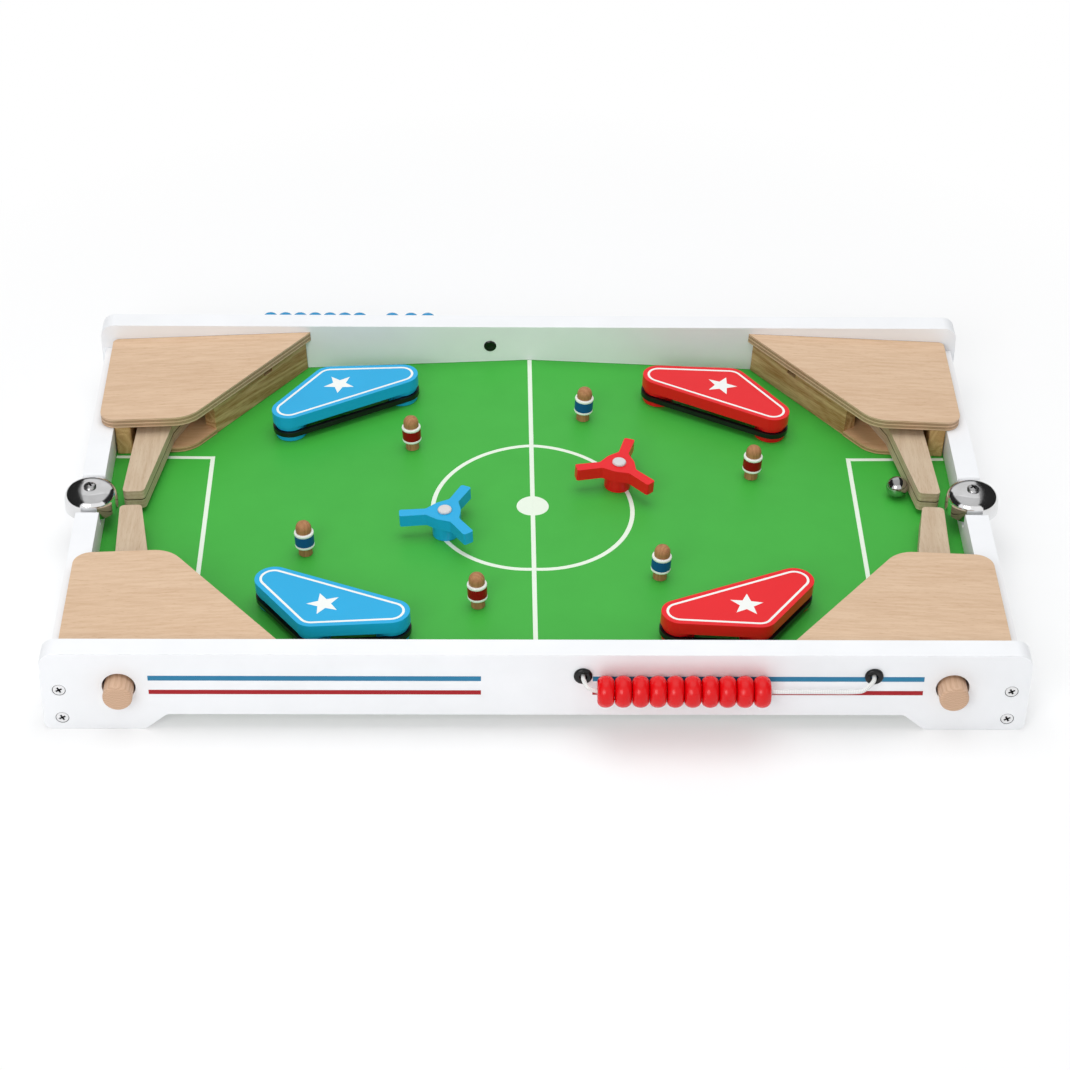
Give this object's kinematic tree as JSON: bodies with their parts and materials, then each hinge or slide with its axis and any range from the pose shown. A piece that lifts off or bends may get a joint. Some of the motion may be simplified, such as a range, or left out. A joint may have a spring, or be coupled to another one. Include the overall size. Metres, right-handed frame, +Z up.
{
  "type": "tabletop pinball game",
  "caption": "Wooden two-player tabletop pinball game with sloped field, flippers, spinners, bells and bead counters.",
  "frame": {"origin": "centre of the footprint, on the surface that the feet stand on", "axes": "+X along the long planks, to the right for the player at the front; +Y away from that player; +Z up"},
  "size_m": [0.7366, 0.4992, 0.07],
  "materials": {
    "white_paint": "satin white paint",
    "field_green": "satin green paint with white lines",
    "birch_ply": "clear matt varnish",
    "beech_dowel": "sanded, oiled",
    "pine": "plain sanded",
    "blue_paint": "gloss blue paint",
    "red_paint": "gloss red paint",
    "black_rubber": "matt",
    "chrome": "polished",
    "steel": "polished",
    "white_cord": "braided"
  },
  "bodies": {
    "root": {"front_plank": "white_paint", "back_plank": "white_paint", "left_rail": "white_paint", "right_rail": "white_paint", "left_field_board": "field_green", "right_field_board": "field_green", "ridge_beam": "pine", "rear_left_cover": "birch_ply", "rear_left_guard": "birch_ply", "rear_left_return_band": "black_rubber", "rear_left_bumper": "blue_paint", "rear_left_bumper_band": "black_rubber", "rear_right_cover": "birch_ply", "rear_right_guard": "birch_ply", "rear_right_return_band": "black_rubber", "rear_right_bumper": "red_paint", "rear_right_bumper_band": "black_rubber", "front_left_cover": "birch_ply", "front_left_guard": "birch_ply", "front_left_return_band": "black_rubber", "front_left_bumper": "blue_paint", "front_left_bumper_band": "black_rubber", "front_right_cover": "birch_ply", "front_right_guard": "birch_ply", "front_right_return_band": "black_rubber", "front_right_bumper": "red_paint", "front_right_bumper_band": "black_rubber", "left_middle_player": "beech_dowel", "left_outer_player": "beech_dowel", "left_goal_player": "beech_dowel", "left_spindle": "blue_paint", "left_bell": "chrome", "left_bell_post": "steel", "right_middle_player": "beech_dowel", "right_outer_player": "beech_dowel", "right_goal_player": "beech_dowel", "right_spindle": "red_paint", "right_bell": "chrome", "right_bell_post": "steel", "front_score_cord": "white_cord", "back_score_cord": "white_cord"},
    "rear_left_flipper": {"rear_left_flipper": "birch_ply"},
    "rear_right_flipper": {"rear_right_flipper": "birch_ply"},
    "front_left_flipper": {"front_left_flipper": "birch_ply"},
    "front_right_flipper": {"front_right_flipper": "birch_ply"},
    "rear_left_button": {"rear_left_button": "beech_dowel"},
    "rear_right_button": {"rear_right_button": "beech_dowel"},
    "front_left_button": {"front_left_button": "beech_dowel"},
    "front_right_button": {"front_right_button": "beech_dowel"},
    "left_spinner": {"left_spinner": "blue_paint"},
    "right_spinner": {"right_spinner": "red_paint"},
    "ball": {"ball": "steel"},
    "front_bead_stack": {"front_bead_stack": "red_paint"},
    "back_bead_stack": {"back_bead_stack": "blue_paint"},
    "front_bead_1": {"front_bead_1": "red_paint"},
    "front_bead_2": {"front_bead_2": "red_paint"},
    "front_bead_3": {"front_bead_3": "red_paint"},
    "back_bead_1": {"back_bead_1": "blue_paint"},
    "back_bead_2": {"back_bead_2": "blue_paint"},
    "back_bead_3": {"back_bead_3": "blue_paint"}
  },
  "joints": [
    {"name": "rear_left_flipper_swing", "type": "hinge", "parent": "root", "child": "rear_left_flipper", "pos_m": [-0.28511, 0.135, 0.03682], "axis": [-0.0471, 0, 0.9989], "range_deg": [0, 35], "stiffness_Nm_per_rad": 0.15, "springref_deg": -20.05, "deforming": ["rear_left_return_band"]},
    {"name": "rear_right_flipper_swing", "type": "hinge", "parent": "root", "child": "rear_right_flipper", "pos_m": [0.28511, 0.135, 0.03682], "axis": [-0.0471, 0, -0.9989], "range_deg": [0, 35], "stiffness_Nm_per_rad": 0.15, "springref_deg": -20.05, "deforming": ["rear_right_return_band"]},
    {"name": "front_left_flipper_swing", "type": "hinge", "parent": "root", "child": "front_left_flipper", "pos_m": [-0.28511, -0.135, 0.03682], "axis": [0.0471, 0, -0.9989], "range_deg": [0, 35], "stiffness_Nm_per_rad": 0.15, "springref_deg": -20.05, "deforming": ["front_left_return_band"]},
    {"name": "front_right_flipper_swing", "type": "hinge", "parent": "root", "child": "front_right_flipper", "pos_m": [0.28511, -0.135, 0.03682], "axis": [0.0471, 0, 0.9989], "range_deg": [0, 35], "stiffness_Nm_per_rad": 0.15, "springref_deg": -20.05, "deforming": ["front_right_return_band"]},
    {"name": "rear_left_button_push", "type": "slide", "parent": "root", "child": "rear_left_button", "axis": [0, -1, 0], "range_m": [0, 0.0115]},
    {"name": "rear_right_button_push", "type": "slide", "parent": "root", "child": "rear_right_button", "axis": [0, -1, 0], "range_m": [0, 0.0115]},
    {"name": "front_left_button_push", "type": "slide", "parent": "root", "child": "front_left_button", "axis": [0, 1, 0], "range_m": [0, 0.0115]},
    {"name": "front_right_button_push", "type": "slide", "parent": "root", "child": "front_right_button", "axis": [0, 1, 0], "range_m": [0, 0.0115]},
    {"name": "left_spinner_turn", "type": "hinge", "parent": "root", "child": "left_spinner", "pos_m": [-0.06873, -0.03214, 0.05108], "axis": [-0.0471, 0, 0.9989], "continuous": true},
    {"name": "right_spinner_turn", "type": "hinge", "parent": "root", "child": "right_spinner", "pos_m": [0.06873, 0.03214, 0.05108], "axis": [0.0471, 0, 0.9989], "continuous": true},
    {"name": "ball_roll", "type": "slide", "parent": "root", "child": "ball", "axis": [-0.9861, -0.1597, 0.0465], "range_m": [0, 0.15]},
    {"name": "front_bead_stack_slide", "type": "slide", "parent": "root", "child": "front_bead_stack", "axis": [1, 0, 0], "range_m": [0, 0.015]},
    {"name": "front_bead_1_slide", "type": "slide", "parent": "front_bead_stack", "child": "front_bead_1", "axis": [1, 0, 0], "range_m": [0, 0.015]},
    {"name": "front_bead_2_slide", "type": "slide", "parent": "front_bead_1", "child": "front_bead_2", "axis": [1, 0, 0], "range_m": [0, 0.015]},
    {"name": "front_bead_3_slide", "type": "slide", "parent": "front_bead_2", "child": "front_bead_3", "axis": [1, 0, 0], "range_m": [0, 0.015]},
    {"name": "back_bead_stack_slide", "type": "slide", "parent": "root", "child": "back_bead_stack", "axis": [1, 0, 0], "range_m": [-0.008, 0.009]},
    {"name": "back_bead_3_slide", "type": "slide", "parent": "back_bead_stack", "child": "back_bead_3", "axis": [1, 0, 0], "range_m": [-0.0145, 0.009]},
    {"name": "back_bead_2_slide", "type": "slide", "parent": "back_bead_3", "child": "back_bead_2", "axis": [1, 0, 0], "range_m": [-0.003, 0.009]},
    {"name": "back_bead_1_slide", "type": "slide", "parent": "back_bead_2", "child": "back_bead_1", "axis": [1, 0, 0], "range_m": [-0.0014, 0.009]}
  ],
  "couplings": [
    {"joint": "rear_left_button_push", "follows": "rear_left_flipper_swing", "m_per_rad": 0.018779},
    {"joint": "rear_right_button_push", "follows": "rear_right_flipper_swing", "m_per_rad": 0.018779},
    {"joint": "front_left_button_push", "follows": "front_left_flipper_swing", "m_per_rad": 0.018779},
    {"joint": "front_right_button_push", "follows": "front_right_flipper_swing", "m_per_rad": 0.018779},
    {"joint": "ball_roll", "follows": "rear_right_flipper_swing", "m_per_rad": 0.245}
  ]
}
